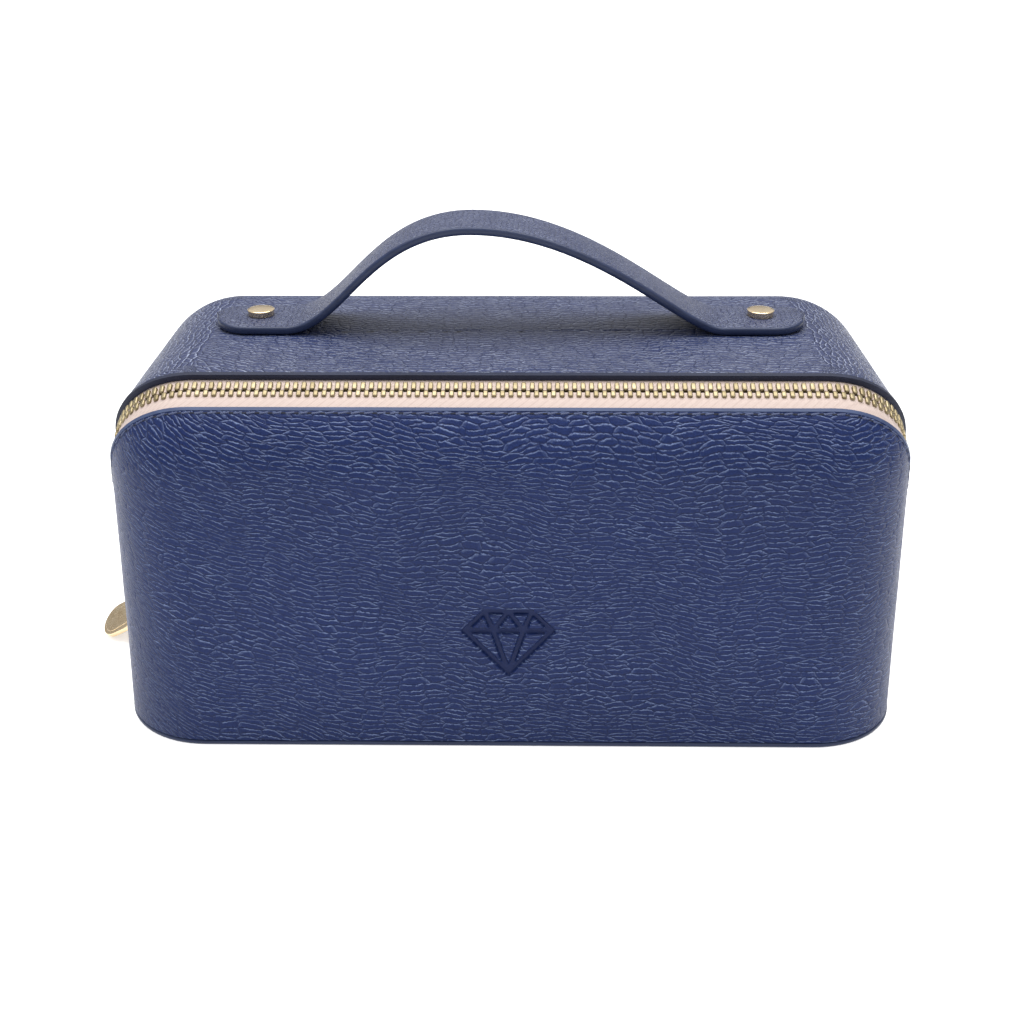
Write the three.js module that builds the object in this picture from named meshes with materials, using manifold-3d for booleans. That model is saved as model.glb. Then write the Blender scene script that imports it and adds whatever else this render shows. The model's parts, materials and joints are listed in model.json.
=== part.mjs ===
// Zip-round jewellery case: a boxy leather case with a strap handle, whose top, back and rear
// side walls swing back as one lid once the zip is open. Millimetres, +Z up, the front faces -Y.
// The origin is on the resting face, under the middle of the case.
import * as THREE from 'three';
import { mergeVertices } from 'three/addons/utils/BufferGeometryUtils.js';
import Module from 'manifold-3d';

const wasm = await Module();
wasm.setup();

// ---- Driving dimensions -------------------------------------------------------------------

const caseWidth = 240;
const caseDepth = 120;
const caseHeight = 114;
const cornerRadius = 28; // upright corners, seen from above
const topRadius = 26; // soft edge between the walls and the top
const sideLean = 2; // each end wall is this much further out at its foot than at mid-height
const gap = 0.3; // clearance between neighbouring pieces

// Wall make-up, from the outside in
const leatherThickness = 1.4;
const tapeThickness = 0.6;
const boardThickness = 1.4;
const liningThickness = 0.6;

// Base
const baseLeatherThickness = 1.5;
const baseBoardThickness = 1.8;

// Zip: it lies in one plane, from the rounded front top edge down both ends to the base
const zipEndY = 2;
const zipEndZ = 14; // middle of the closed slider
const zipSetback = 1.1; // the zip plane passes this far behind the axis of the front top edge
const frontOpening = 7.3; // from the middle of the zip to the front's leather edge
const lidOpening = 5.1; // and to the lid's
const tapeWidth = 6.4; // each tape, past its teeth
const teethDepth = 2.4; // through the wall
const teethSpan = 2.4; // each row, across the zip
const teethProud = 0.9; // the teeth start this far out from the tape
const teethCentreGap = 1.2;
const stopLength = 3.2;
const stopSetback = 0.4; // the teeth run this far past the closed slider
const rimWidth = 1.6;
const rimProud = 0.3;

// Slider and puller
const sliderLength = 9.6;
const sliderWidth = 9.2;
const sliderCorner = 2.4;
const sliderOuterPlate = 1.7;
const sliderInnerPlate = 1.2;
const sliderWeb = 0.6;
const sliderWebInset = 0.6;
const bridgeWidth = 2.4;
const bridgeInnerRadius = 1.9;
const bridgeThickness = 1.2;
const pullerLength = 23;
const pullerWidth = 13;
const pullerNeckWidth = 8;
const pullerFlareStart = 6; // where its sides leave the neck
const pullerFlareEnd = 8;
const pullerThickness = 2.3;
const pullerBar = 1.8;
const pullerSideGap = 0.4; // play of the bridge in the puller's slot
const pullerEndGap = 0.5;
const pullerFloorGap = 0.2;

// Handle
const strapWidth = 24;
const strapThickness = 2.4;
const strapY = 7;
const strapTipRadius = 11.5;
const strapTip = 14; // past each rivet
const rivetInset = 41; // from the end walls
const handleRise = 31.3;
const handlePeakX = -12;
const riseEase = 18; // how gently the strap leaves the lid on the left
const crownLeft = 32; // and how long it stays level either side of its peak
const crownRight = 38;
const fallEase = 12; // and how gently it meets the lid on the right
const liftOffLeft = 9; // from the left rivet to where the strap leaves the lid
const liftOffRight = 13;
const flexLength = 13; // soft stretch between each flat end and the stiff bow
const rivetHeadRadius = 4.35;
const rivetHeadHeight = 2.2;
const rivetBevel = 0.6;
const rivetPostRadius = 1.7;
const washerRadius = 5;
const washerThickness = 1;

// Lift-out tray
const trayHeight = 30;
const trayWall = 2;
const trayClearance = 7; // to the lining at the ends
const trayFrontClearance = 4.5;
const trayBackClearance = 7.6;
const trayCorner = 8;
const dividerThickness = 1.6;
const dividerHeight = 25;
const rowSplitY = -3; // the long divider
const rollCount = 6;
const rollRadius = 7;
const rollClearance = 0.5;
const rollEndClearance = 4;
const tabWidth = 16;
const tabHeight = 12;
const tabThickness = 1;

// Pocket on the back wall, and the strip that covers the hinge line inside
const pocketWidth = 140;
const pocketBottom = 40;
const pocketTop = 87;
const pocketDepth = 6.4;
const pocketWall = 0.8;
const hingeStripHeight = 11;
const hingeStripReach = 6.8;
const hingeStripThickness = 0.8;

// Facets
const cornerFacets = 3;
const edgeFacets = 5;
const roundFacets = 16;
const far = 400; // larger than the case, for cutting blocks
const runOn = 100; // how far a block runs on below the foot
const overlap = 0.1; // between two shapes that are joined into one piece

// ---- Worked-out places --------------------------------------------------------------------

const halfWidth = caseWidth / 2;
const halfDepth = caseDepth / 2;
const edgeRadius = Math.min(topRadius, cornerRadius - 1); // a top corner can't be rounder than its wall
const tapeOffset = leatherThickness + gap;
const boardOffset = tapeOffset + tapeThickness + gap;
const liningOffset = boardOffset + boardThickness + gap;
const innerOffset = liningOffset + liningThickness;
const insetOffset = innerOffset + gap;
const wallFoot = baseLeatherThickness + gap;
const baseBoardTop = wallFoot + baseBoardThickness;
const floorTop = baseBoardTop + gap + liningThickness;
const boardFoot = wallFoot + 2;
const boardCornerGap = 1;

// The zip plane passes just behind the axis of the front top edge and through the closed slider
const edgeAxisY = -halfDepth + edgeRadius;
const edgeAxisZ = caseHeight - edgeRadius;
const zipBack = zipEndY - edgeAxisY;
const zipRise = edgeAxisZ - zipEndZ;
const zipTilt = Math.atan2(zipBack, zipRise) - Math.asin(zipSetback / Math.hypot(zipBack, zipRise));
const teethInner = teethCentreGap / 2;
const teethOuter = teethInner + teethSpan;
const tapeInner = teethOuter + gap;
const teethOffset = tapeOffset - teethProud;
const sliderHalf = sliderLength / 2;
const teethEnd = -sliderHalf - stopSetback;

const leanSlope = (2 * sideLean) / caseHeight;

const strapBottom = caseHeight + gap;
const strapTop = strapBottom + strapThickness;
const rivetX = halfWidth - rivetInset;

// ---- Materials ----------------------------------------------------------------------------

function material(color, roughness, metalness = 0) {
  return new THREE.MeshStandardMaterial({ color, roughness, metalness });
}

const leather = material(0x3b4a70, 0.5);
const leatherEdge = material(0x25304f, 0.4);
const tape = material(0xe0cfc7, 0.8);
const gold = material(0xd9c08a, 0.25, 1);
const lining = material(0xd8c3b6, 0.9);
const board = material(0x9a9288, 0.95);
const roll = material(0xe2d2c6, 0.95);

// ---- Solids -------------------------------------------------------------------------------

function solidOf(geometry) {
  const bare = geometry.index ? geometry.toNonIndexed() : geometry.clone();
  bare.deleteAttribute('normal');
  bare.deleteAttribute('uv');
  const merged = mergeVertices(bare, 1e-4);
  return new wasm.Manifold(new wasm.Mesh({
    numProp: 3,
    vertProperties: new Float32Array(merged.attributes.position.array),
    triVerts: new Uint32Array(merged.index.array),
  }));
}

function geometryOf(solid) {
  const mesh = solid.getMesh();
  const geometry = new THREE.BufferGeometry();
  geometry.setAttribute('position', new THREE.BufferAttribute(new Float32Array(mesh.vertProperties), 3));
  geometry.setIndex(new THREE.BufferAttribute(new Uint32Array(mesh.triVerts), 1));
  geometry.computeVertexNormals();
  return geometry;
}

// A box between two corners
function boxGeometry([x0, y0, z0], [x1, y1, z1]) {
  return new THREE.BoxGeometry(x1 - x0, y1 - y0, z1 - z0)
    .translate((x0 + x1) / 2, (y0 + y1) / 2, (z0 + z1) / 2);
}

function box(low, high) {
  return solidOf(boxGeometry(low, high));
}

function cylinder(radius, low, high, x = 0, y = 0) {
  return solidOf(new THREE.CylinderGeometry(radius, radius, high - low, roundFacets)
    .rotateX(Math.PI / 2).translate(x, y, (low + high) / 2));
}

function roundedRectangle(x0, x1, y0, y1, radius) {
  const shape = new THREE.Shape();
  shape.absarc(x1 - radius, y0 + radius, radius, -Math.PI / 2, 0);
  shape.absarc(x1 - radius, y1 - radius, radius, 0, Math.PI / 2);
  shape.absarc(x0 + radius, y1 - radius, radius, Math.PI / 2, Math.PI);
  shape.absarc(x0 + radius, y0 + radius, radius, Math.PI, Math.PI * 1.5);
  shape.closePath();
  return shape;
}

// The end walls lean: a point's X grows towards the foot of the case
function leaned(geometry) {
  const place = geometry.attributes.position;
  for (let i = 0; i < place.count; i += 1) {
    const lean = 1 + (sideLean / halfWidth) * (1 - (2 * place.getZ(i)) / caseHeight);
    place.setX(i, place.getX(i) * lean);
  }
  return geometry;
}

function planShape(offset) {
  return roundedRectangle(
    -halfWidth + offset, halfWidth - offset, -halfDepth + offset, halfDepth - offset,
    cornerRadius - offset,
  );
}

// The whole case as a solid block whose surface lies `offset` inside the outer one.
// It runs on below the foot, where the pieces are cut off.
function caseBlock(offset) {
  const radius = edgeRadius - offset;
  const straight = caseHeight + runOn;
  const geometry = new THREE.ExtrudeGeometry(planShape(offset), {
    depth: straight - offset - radius,
    curveSegments: cornerFacets,
    bevelEnabled: true,
    bevelThickness: radius,
    bevelSize: radius,
    bevelOffset: -radius,
    bevelSegments: edgeFacets,
  });
  return solidOf(leaned(geometry.translate(0, 0, caseHeight - straight)));
}

// One layer of the wall and top, open at the foot
function wallLayer(outer, inner, foot = wallFoot) {
  return caseBlock(outer).subtract(caseBlock(inner)).intersect(box([-far, -far, foot], [far, far, far]));
}

// A flat plate in plan, with the case's own outline
function planPlate(offset, low, high) {
  const geometry = new THREE.ExtrudeGeometry(planShape(offset), {
    depth: high - low, curveSegments: cornerFacets, bevelEnabled: false,
  });
  return solidOf(leaned(geometry.translate(0, 0, low)));
}

// A block square to the zip: `across` runs from the front (negative) to the lid (positive) side,
// `along` runs up the zip from the closed slider
function zipBlock(across0, across1, along0 = -far, along1 = far, x0 = -far, x1 = far) {
  return solidOf(boxGeometry([x0, across0, along0], [x1, across1, along1])
    .rotateX(zipTilt).translate(0, zipEndY, zipEndZ));
}

const frontOf = (distance) => zipBlock(-far, -distance);
const behind = (distance) => zipBlock(distance, far);

// ---- Assembly -----------------------------------------------------------------------------

const group = new THREE.Group();

function add(name, shape, finish, parent = group) {
  const geometry = shape.isBufferGeometry ? shape : geometryOf(shape);
  const mesh = new THREE.Mesh(geometry, finish);
  mesh.name = name;
  parent.add(mesh);
  return mesh;
}

const rivetHoles = [-rivetX, rivetX]
  .map((x) => cylinder(rivetPostRadius + gap, caseHeight - far, caseHeight + far, x, strapY))
  .reduce((holes, hole) => holes.add(hole));

// Leather, boards and lining of the front shell, which stands on the base
function frontShell() {
  add('front_leather', wallLayer(0, leatherThickness).intersect(frontOf(frontOpening)), leather);
  const boards = wallLayer(boardOffset, boardOffset + boardThickness, boardFoot)
    .intersect(frontOf(frontOpening + gap));
  const flatX = halfWidth - cornerRadius - boardCornerGap;
  const flatY = halfDepth - cornerRadius - boardCornerGap;
  add('front_board', boards.intersect(box([-flatX, -far, 0], [flatX, -flatY, edgeAxisZ])), board);
  add('left_front_board', boards.intersect(box([-far, -flatY, 0], [-flatX, flatY, edgeAxisZ])), board);
  add('right_front_board', boards.intersect(box([flatX, -flatY, 0], [far, flatY, edgeAxisZ])), board);
  add('front_lining', wallLayer(liningOffset, innerOffset).intersect(frontOf(frontOpening)), lining);
}

function base() {
  add('base_leather', planPlate(0, 0, baseLeatherThickness), leather);
  add('base_board', planPlate(insetOffset, wallFoot, baseBoardTop), board);
  add('floor_lining', planPlate(insetOffset, baseBoardTop + gap, floorTop), lining);
}

// Leather, rim, boards and lining of the lid: the top, the back and the rear side walls
function lid() {
  const rim = lidOpening + rimWidth;
  const skin = wallLayer(0, leatherThickness).intersect(behind(rim + gap));
  add('lid_leather', skin.subtract(rivetHoles), leather);
  add('lid_rim_binding', wallLayer(-rimProud, leatherThickness).intersect(zipBlock(lidOpening, rim)),
    leatherEdge);
  const boards = wallLayer(boardOffset, boardOffset + boardThickness, boardFoot)
    .intersect(behind(lidOpening + gap)).subtract(rivetHoles);
  const flatX = halfWidth - cornerRadius - boardCornerGap;
  const flatY = halfDepth - cornerRadius - boardCornerGap;
  add('top_board', boards.intersect(box([-flatX, -flatY, edgeAxisZ + gap], [flatX, flatY, far])), board);
  add('back_board', boards.intersect(box([-flatX, flatY + gap, 0], [flatX, far, edgeAxisZ])), board);
  add('left_rear_board', boards.intersect(box([-far, -flatY, 0], [-flatX, flatY, edgeAxisZ])), board);
  add('right_rear_board', boards.intersect(box([flatX, -flatY, 0], [far, flatY, edgeAxisZ])), board);
  const inside = wallLayer(liningOffset, innerOffset).intersect(behind(lidOpening));
  add('lid_lining', inside.subtract(rivetHoles), lining);
}

// Two tapes, two rows of teeth and an end stop on each row at both ends
function zip() {
  const tapeLayer = wallLayer(tapeOffset, tapeOffset + tapeThickness);
  const metalLayer = wallLayer(teethOffset, teethOffset + teethDepth);
  for (const [side, sign] of [['front', -1], ['lid', 1]]) {
    const band = (inner, outer, ...along) => zipBlock(
      Math.min(sign * inner, sign * outer), Math.max(sign * inner, sign * outer), ...along,
    );
    add(`zip_tape_${side}`, tapeLayer.intersect(band(tapeInner, tapeInner + tapeWidth)), tape);
    add(`zip_teeth_${side}`, metalLayer.intersect(band(teethInner, teethOuter, teethEnd)), gold);
    const stop = [teethEnd - gap - stopLength, teethEnd - gap];
    add(`zip_stop_${side}_left`, metalLayer.intersect(band(teethInner, teethOuter, ...stop, -far, 0)), gold);
    add(`zip_stop_${side}_right`, metalLayer.intersect(band(teethInner, teethOuter, ...stop, 0, far)), gold);
  }
}

// The slider's own frame: x out of the left wall, y towards the lid, z down along the zip,
// with its origin on the leather's outer face at the closed end of the zip
function sliderFrame() {
  const frame = new THREE.Group();
  const wallX = -(halfWidth + sideLean * (1 - (2 * zipEndZ) / caseHeight));
  const down = new THREE.Vector3(-leanSlope * Math.cos(zipTilt), Math.sin(zipTilt), -Math.cos(zipTilt));
  const toLid = new THREE.Vector3(leanSlope * Math.sin(zipTilt), Math.cos(zipTilt), Math.sin(zipTilt));
  down.normalize();
  const out = new THREE.Vector3().crossVectors(toLid, down).normalize();
  toLid.crossVectors(down, out);
  frame.matrixAutoUpdate = false;
  frame.matrix.makeBasis(out, toLid, down).setPosition(wallX, zipEndY, zipEndZ);
  frame.matrixWorldNeedsUpdate = true;
  group.add(frame);
  return frame;
}

const outerPlateIn = -(teethOffset - gap);
const outerPlateOut = outerPlateIn + sliderOuterPlate;
const innerPlateOut = -(teethOffset + teethDepth + gap);
const pivotX = outerPlateOut + bridgeInnerRadius;

function slider(frame) {
  const half = sliderWidth / 2;
  const outline = roundedRectangle(-half, half, -sliderHalf, sliderHalf, sliderCorner);
  const plate = (low, high) => solidOf(new THREE.ExtrudeGeometry(outline, {
    depth: high - low, curveSegments: 2, bevelEnabled: false,
  }).rotateY(Math.PI / 2).rotateX(Math.PI / 2).translate(low, 0, 0));
  const webHalf = sliderHalf - sliderWebInset;
  const web = box([innerPlateOut - overlap, -sliderWeb / 2, -webHalf],
    [outerPlateIn + overlap, sliderWeb / 2, webHalf]);
  const outerRadius = bridgeInnerRadius + bridgeThickness;
  const archFoot = outerPlateOut - overlap;
  const arch = new THREE.Shape();
  arch.moveTo(archFoot, -outerRadius);
  arch.absarc(pivotX, 0, outerRadius, -Math.PI / 2, Math.PI / 2);
  arch.lineTo(archFoot, outerRadius);
  arch.lineTo(archFoot, bridgeInnerRadius);
  arch.lineTo(pivotX, bridgeInnerRadius);
  arch.absarc(pivotX, 0, bridgeInnerRadius, Math.PI / 2, -Math.PI / 2, true);
  arch.lineTo(archFoot, -bridgeInnerRadius);
  arch.closePath();
  const bridge = solidOf(new THREE.ExtrudeGeometry(arch, {
    depth: bridgeWidth, curveSegments: 5, bevelEnabled: false,
  }).rotateX(Math.PI / 2).translate(0, bridgeWidth / 2, 0));
  const body = plate(outerPlateIn, outerPlateOut)
    .add(plate(innerPlateOut - sliderInnerPlate, innerPlateOut)).add(web).add(bridge);
  add('zip_slider', body, gold, frame);
}

// Height of the puller's lowest point when it is swung out by `angle` from hanging along the zip
function pullerLowest(angle) {
  const radius = pullerWidth / 2;
  const pivotZ = zipEndZ;
  const drop = Math.cos(zipTilt) * Math.cos(angle);
  return pivotZ - drop * (pullerLength - radius) - radius * Math.hypot(drop, Math.sin(zipTilt))
    - (Math.cos(zipTilt) * Math.sin(angle) * pullerThickness) / 2;
}

// The puller lies with its tip on the surface that the case stands on
function pullerRestAngle() {
  const step = Math.PI / 720;
  let angle = 0;
  while (pullerLowest(angle) < pullerFloorGap && angle < Math.PI) angle += step;
  return angle;
}

function puller(frame) {
  const swing = new THREE.Group();
  swing.position.set(pivotX, 0, 0);
  swing.rotation.y = pullerRestAngle();
  frame.add(swing);
  const radius = pullerWidth / 2;
  const neck = pullerNeckWidth / 2;
  const bar = pullerBar / 2;
  const outline = new THREE.Shape();
  outline.moveTo(-neck, -bar);
  outline.lineTo(neck, -bar);
  outline.bezierCurveTo(neck, pullerFlareStart, radius, pullerFlareEnd, radius, pullerLength - radius);
  outline.absarc(0, pullerLength - radius, radius, 0, Math.PI);
  outline.bezierCurveTo(-radius, pullerFlareEnd, -neck, pullerFlareStart, -neck, -bar);
  const slotHalf = bridgeWidth / 2 + pullerSideGap;
  const slotEnd = bridgeInnerRadius + bridgeThickness + pullerEndGap;
  const plate = solidOf(new THREE.ExtrudeGeometry(outline, {
    depth: pullerThickness, curveSegments: 5, bevelEnabled: false,
  }).translate(0, 0, -pullerThickness / 2).rotateY(Math.PI / 2).rotateX(Math.PI / 2));
  const slot = box([-far, -slotHalf, bar], [far, slotHalf, slotEnd]);
  const barRelief = box([-far, -slotHalf, -far], [-bar, slotHalf, slotEnd])
    .add(box([bar, -slotHalf, -far], [far, slotHalf, slotEnd]));
  add('zip_puller', plate.subtract(slot).subtract(barRelief), gold, swing);
}

// The strap's middle line, from tip to tip, as [x, height above its flat ends]
function strapLine() {
  const left = -rivetX + liftOffLeft;
  const right = rivetX - liftOffRight;
  const point = (x, y) => new THREE.Vector2(x, y);
  const line = new THREE.CurvePath();
  line.add(new THREE.LineCurve(point(-rivetX - strapTip, 0), point(left, 0)));
  line.add(new THREE.CubicBezierCurve(point(left, 0), point(left + riseEase, 0),
    point(handlePeakX - crownLeft, handleRise), point(handlePeakX, handleRise)));
  line.add(new THREE.CubicBezierCurve(point(handlePeakX, handleRise),
    point(handlePeakX + crownRight, handleRise), point(right - fallEase, 0), point(right, 0)));
  line.add(new THREE.LineCurve(point(right, 0), point(rivetX + strapTip, 0)));
  return line;
}

function strapSolid() {
  const upper = [];
  const lower = [];
  for (const stretch of strapLine().curves) {
    const steps = stretch.isLineCurve ? 1 : 14;
    for (let i = upper.length ? 1 : 0; i <= steps; i += 1) {
      const at = stretch.getPoint(i / steps);
      const tangent = stretch.getTangent(i / steps);
      const normal = new THREE.Vector2(-tangent.y, tangent.x).multiplyScalar(strapThickness / 2);
      upper.push(at.clone().add(normal));
      lower.push(at.clone().sub(normal));
    }
  }
  const profile = new THREE.Shape([...lower, ...upper.reverse()]);
  const strip = solidOf(new THREE.ExtrudeGeometry(profile, {
    depth: strapWidth, bevelEnabled: false,
  }).rotateX(Math.PI / 2).translate(0, strapY + strapWidth / 2, strapBottom + strapThickness / 2));
  const tip = rivetX + strapTip;
  const plan = roundedRectangle(-tip, tip, strapY - strapWidth / 2, strapY + strapWidth / 2, strapTipRadius);
  return strip.intersect(solidOf(new THREE.ExtrudeGeometry(plan, {
    depth: far, curveSegments: cornerFacets, bevelEnabled: false,
  })));
}

// One strap in five stretches: two riveted ends, two soft stretches and the bow that is held
function handle() {
  const strap = strapSolid().subtract(rivetHoles);
  const left = -rivetX + liftOffLeft;
  const right = rivetX - liftOffRight;
  const stretch = (x0, x1) => strap.intersect(box([x0, -far, 0], [x1, far, far]));
  add('handle_end_left', stretch(-far, left), leather);
  add('handle_flex_left', stretch(left + gap, left + flexLength), leather);
  add('handle_bow', stretch(left + flexLength + gap, right - flexLength - gap), leather);
  add('handle_flex_right', stretch(right - flexLength, right - gap), leather);
  add('handle_end_right', stretch(right, far), leather);
}

// A capped rivet through the strap, the top and its board, closed by a washer inside
function rivets() {
  const head = strapTop + gap;
  const postFoot = caseHeight - innerOffset - gap - washerThickness;
  const profile = [
    [0, postFoot - head], [rivetPostRadius, postFoot - head], [rivetPostRadius, 0], [rivetHeadRadius, 0],
    [rivetHeadRadius, rivetHeadHeight - rivetBevel], [rivetHeadRadius - rivetBevel, rivetHeadHeight],
    [0, rivetHeadHeight],
  ].map(([x, y]) => new THREE.Vector2(x, y));
  for (const [side, x] of [['left', -rivetX], ['right', rivetX]]) {
    const rivet = new THREE.LatheGeometry(profile, roundFacets);
    add(`rivet_${side}`, solidOf(rivet.rotateX(Math.PI / 2).translate(x, strapY, head)), gold);
    const washer = cylinder(washerRadius, postFoot, postFoot + washerThickness, x, strapY);
    add(`rivet_washer_${side}`, washer.subtract(rivetHoles), gold);
  }
}

// A flat pouch on the back lining, open at the top
function pocket() {
  const back = halfDepth - innerOffset - gap;
  const front = back - pocketDepth;
  const half = pocketWidth / 2;
  const outer = box([-half, front, pocketBottom], [half, back, pocketTop]);
  const hollow = box([-half + pocketWall, front + pocketWall, pocketBottom + pocketWall],
    [half - pocketWall, back - pocketWall, far]);
  add('lid_pocket', outer.subtract(hollow), lining);
}

// Soft strip over the hinge line inside: up the back wall and in along the floor
function hingeStrip() {
  const back = halfDepth - insetOffset;
  const low = floorTop + gap;
  const half = halfWidth - cornerRadius - boardCornerGap;
  const upright = box([-half, back - hingeStripThickness, low], [half, back, low + hingeStripHeight]);
  const foot = box([-half, back - hingeStripReach, low], [half, back, low + hingeStripThickness]);
  add('hinge_strip', upright.add(foot), lining);
}

const trayLow = floorTop + gap;
const trayX = halfWidth - innerOffset - trayClearance;
const trayFront = -halfDepth + innerOffset + trayFrontClearance;
const trayBack = halfDepth - innerOffset - trayBackClearance;
const trayFloor = trayLow + trayWall;

function trayShell() {
  const prism = (inset, low, high) => solidOf(new THREE.ExtrudeGeometry(
    roundedRectangle(-trayX + inset, trayX - inset, trayFront + inset, trayBack - inset, trayCorner - inset),
    { depth: high - low, curveSegments: cornerFacets, bevelEnabled: false },
  ).translate(0, 0, low));
  const shell = prism(0, trayLow, trayLow + trayHeight).subtract(prism(trayWall, trayFloor, far));
  add('tray', shell, lining);
}

// One long divider parts the front row from the back row; three short ones part the rows
function trayDividers() {
  const low = trayFloor + gap;
  const high = trayFloor + dividerHeight;
  const half = dividerThickness / 2;
  const endX = trayX - trayWall - gap;
  const frontY = trayFront + trayWall + gap;
  const backY = trayBack - trayWall - gap;
  const upright = (name, x, y0, y1) => add(name, box([x - half, y0, low], [x + half, y1, high]), lining);
  add('tray_divider_long', box([-endX, rowSplitY - half, low], [endX, rowSplitY + half, high]), lining);
  upright('tray_divider_rolls', rollsEndX(), rowSplitY + half + gap, backY);
  upright('tray_divider_back', (rollsEndX() + trayX) / 2, rowSplitY + half + gap, backY);
  upright('tray_divider_front', 0, frontY, rowSplitY - half - gap);
}

const rollPitch = 2 * rollRadius + rollClearance;

function rollsEndX() {
  return -trayX + trayWall + rollCount * rollPitch + rollClearance + dividerThickness;
}

// Padded rolls that hold rings between them, side by side in the back row
function ringRolls() {
  const y0 = rowSplitY + dividerThickness / 2 + 2 * gap;
  const y1 = trayBack - trayWall - rollEndClearance;
  for (let i = 0; i < rollCount; i += 1) {
    const x = -trayX + trayWall + rollClearance + rollRadius + i * rollPitch;
    add(`ring_roll_${i + 1}`, new THREE.CylinderGeometry(rollRadius, rollRadius, y1 - y0, roundFacets)
      .translate(x, (y0 + y1) / 2, trayFloor + gap + rollRadius), roll);
  }
}

// Ribbon tabs at the tray's ends, to lift it by
function trayTabs() {
  const low = trayLow + trayHeight - tabHeight / 2;
  for (const [side, sign] of [['left', -1], ['right', 1]]) {
    const inner = sign * (trayX + gap);
    const outer = inner + sign * tabThickness;
    add(`tray_tab_${side}`, box(
      [Math.min(inner, outer), -tabWidth / 2, low], [Math.max(inner, outer), tabWidth / 2, low + tabHeight],
    ), tape);
  }
}

frontShell();
base();
lid();
zip();
const sliderPlace = sliderFrame();
slider(sliderPlace);
puller(sliderPlace);
handle();
rivets();
pocket();
hingeStrip();
trayShell();
trayDividers();
ringRolls();
trayTabs();

export default group;
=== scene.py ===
"""Zip-round leather jewellery case: the looks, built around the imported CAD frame. Metres, +Z up."""

import json
import math

import bmesh
import bpy
import numpy as np
from mathutils import Matrix, Vector, noise


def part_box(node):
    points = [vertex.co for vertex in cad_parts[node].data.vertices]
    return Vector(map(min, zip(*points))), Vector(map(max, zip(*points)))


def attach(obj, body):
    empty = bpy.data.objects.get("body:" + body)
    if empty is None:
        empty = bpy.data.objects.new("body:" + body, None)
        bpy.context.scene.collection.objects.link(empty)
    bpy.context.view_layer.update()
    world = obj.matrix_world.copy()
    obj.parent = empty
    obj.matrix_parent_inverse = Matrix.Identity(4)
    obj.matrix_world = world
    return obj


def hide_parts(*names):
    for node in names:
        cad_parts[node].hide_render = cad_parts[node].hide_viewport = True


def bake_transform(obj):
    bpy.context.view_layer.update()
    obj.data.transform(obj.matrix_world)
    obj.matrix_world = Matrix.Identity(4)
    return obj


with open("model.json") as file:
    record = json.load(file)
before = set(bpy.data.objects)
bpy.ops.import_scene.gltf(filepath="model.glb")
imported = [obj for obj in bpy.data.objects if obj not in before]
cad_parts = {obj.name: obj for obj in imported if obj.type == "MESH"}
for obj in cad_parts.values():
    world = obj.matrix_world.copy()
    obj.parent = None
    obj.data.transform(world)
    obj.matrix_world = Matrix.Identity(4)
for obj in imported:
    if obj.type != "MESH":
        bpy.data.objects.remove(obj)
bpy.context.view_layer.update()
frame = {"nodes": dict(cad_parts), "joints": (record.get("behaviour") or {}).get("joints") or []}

MM = 0.001
joints = {j["name"]: j for j in frame["joints"]}

# ---- Sizes of the case, in millimetres, as the CAD part has them ---------------------------

GAP = 0.3  # between neighbouring layers
SKIN = 1.4  # leather
TAPE_IN = SKIN + GAP  # from the outside in to the zip's tape
LINING_IN = 4.3  # from the outside in to the lining
LINING = 0.6
TOP_RADIUS = 26.0
CORNER_RADIUS = 28.0
ZIP_SETBACK = 1.1  # from the top edge's axis to the zip's plane
FRONT_OPENING = 7.3  # zip middle to the front's leather edge
LID_OPENING = 5.1  # zip middle to the lid's painted rim
RIM = 1.6
TEETH_PITCH = 2.42
STITCH_PITCH = 3.68

base_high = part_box("base_leather")[1]
top_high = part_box("lid_leather")[1]
HALF_D = base_high.y / MM
HEIGHT = top_high.z / MM
BASE_TOP = base_high.z / MM
FOOT = BASE_TOP + GAP  # of the walls
LEAN = 2.0  # each side wall stands out by this much at its foot, and leans in by it at full height
HALF_W = base_high.x / MM - LEAN
EDGE_Y = -HALF_D + TOP_RADIUS
EDGE_Z = HEIGHT - TOP_RADIUS
SIDE_BODY = {"front": "base", "lid": "lid"}  # the body that each half of the zip rides on

# The zip's plane: it holds the X axis direction and the way up the zip
zip_up = Vector(joints["slider_travel"]["axis"]).normalized()
zip_up = Vector((0, zip_up.y, zip_up.z)).normalized()
zip_across = Vector((0, zip_up.z, -zip_up.y))  # from the front towards the lid
zip_point = Vector((0, EDGE_Y, EDGE_Z)) + zip_across * ZIP_SETBACK


# ---- Meshes --------------------------------------------------------------------------------


def linked(name, data):
    obj = bpy.data.objects.new(name, data)
    bpy.context.scene.collection.objects.link(obj)
    return obj


def new_object(name, verts, faces):
    mesh = bpy.data.meshes.new(name)
    mesh.from_pydata([tuple(v) for v in verts], [], faces)
    obj = linked(name, mesh)
    mesh.shade_smooth()
    return obj


def tube_faces(rings, around):
    """Quads between rings of points that follow each other, `around` points to a ring."""
    faces = []
    for r in range(rings - 1):
        for c in range(around):
            d = (c + 1) % around
            faces.append((r * around + c, r * around + d, (r + 1) * around + d, (r + 1) * around + c))
    return faces


def end_caps(rings, around):
    """The two faces that close such a tube."""
    return [tuple(reversed(range(around))), tuple(range((rings - 1) * around, rings * around))]


def edit(obj, work):
    bm = bmesh.new()
    bm.from_mesh(obj.data)
    work(bm)
    bm.to_mesh(obj.data)
    bm.free()
    obj.data.update()
    return obj


def recalc(obj):
    return edit(obj, lambda bm: bmesh.ops.recalc_face_normals(bm, faces=bm.faces))


def freeze(obj):
    """Apply the modifiers, so that the mesh is final."""
    deps = bpy.context.evaluated_depsgraph_get()
    mesh = bpy.data.meshes.new_from_object(obj.evaluated_get(deps))
    obj.modifiers.clear()
    obj.data = mesh
    return obj


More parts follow.
